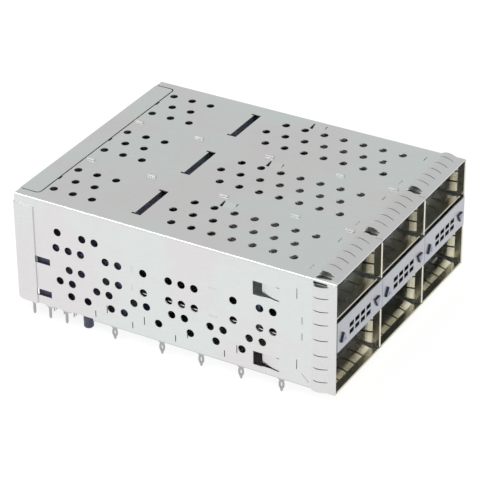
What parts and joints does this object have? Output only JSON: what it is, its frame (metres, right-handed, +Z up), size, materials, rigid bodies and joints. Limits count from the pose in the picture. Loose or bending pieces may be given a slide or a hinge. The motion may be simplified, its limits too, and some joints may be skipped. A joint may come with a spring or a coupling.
{
  "type": "stacked transceiver cage",
  "caption": "Folded sheet-metal cage with stacked ports in columns, vented separators, contact fingers, light pipes and press-fit board connectors at the rear.",
  "frame": {"origin": "on the board's top face, in the middle of the cage's front edge", "axes": "+X across the columns, +Y from the port mouths to the rear, +Z up from the board"},
  "size_m": [0.0622, 0.079, 0.0304],
  "materials": {
    "plated_sheet": "bright tin-plated sheet, fine rolling grain",
    "spring_strip": "bright spring strip",
    "housing_plastic": "moulded, matt",
    "contact_plating": "plated contact strip",
    "light_pipe": "clear moulded plastic"
  },
  "bodies": {
    "root": {"cage_shell": "plated_sheet", "rear_cover": "plated_sheet", "floor_plate": "plated_sheet", "divider_left": "plated_sheet", "divider_right": "plated_sheet", "side_springs_left": "spring_strip", "side_springs_right": "spring_strip", "separator_left": "plated_sheet", "separator_middle": "plated_sheet", "separator_right": "plated_sheet", "separator_face_left": "plated_sheet", "separator_face_middle": "plated_sheet", "separator_face_right": "plated_sheet", "separator_springs_lower_left": "spring_strip", "separator_springs_upper_left": "spring_strip", "separator_springs_lower_middle": "spring_strip", "separator_springs_upper_middle": "spring_strip", "separator_springs_lower_right": "spring_strip", "separator_springs_upper_right": "spring_strip", "roof_springs_left": "spring_strip", "roof_springs_middle": "spring_strip", "roof_springs_right": "spring_strip", "floor_springs_left": "spring_strip", "floor_springs_middle": "spring_strip", "floor_springs_right": "spring_strip", "divider_springs_lower_left": "spring_strip", "divider_springs_upper_left": "spring_strip", "divider_springs_lower_right": "spring_strip", "divider_springs_upper_right": "spring_strip", "connector_housing_left": "housing_plastic", "connector_housing_middle": "housing_plastic", "connector_housing_right": "housing_plastic", "tail_organizer_left": "housing_plastic", "tail_organizer_middle": "housing_plastic", "tail_organizer_right": "housing_plastic", "contact_row_a_left": "contact_plating", "contact_row_b_left": "contact_plating", "contact_row_c_left": "contact_plating", "contact_row_d_left": "contact_plating", "contact_row_a_middle": "contact_plating", "contact_row_b_middle": "contact_plating", "contact_row_c_middle": "contact_plating", "contact_row_d_middle": "contact_plating", "contact_row_a_right": "contact_plating", "contact_row_b_right": "contact_plating", "contact_row_c_right": "contact_plating", "contact_row_d_right": "contact_plating", "light_pipe_up_left": "light_pipe", "light_pipe_down_left": "light_pipe", "light_pipe_up_middle": "light_pipe", "light_pipe_down_middle": "light_pipe", "light_pipe_up_right": "light_pipe", "light_pipe_down_right": "light_pipe", "light_pipe_carrier_left": "housing_plastic", "light_pipe_carrier_middle": "housing_plastic", "light_pipe_carrier_right": "housing_plastic"}
  },
  "joints": []
}
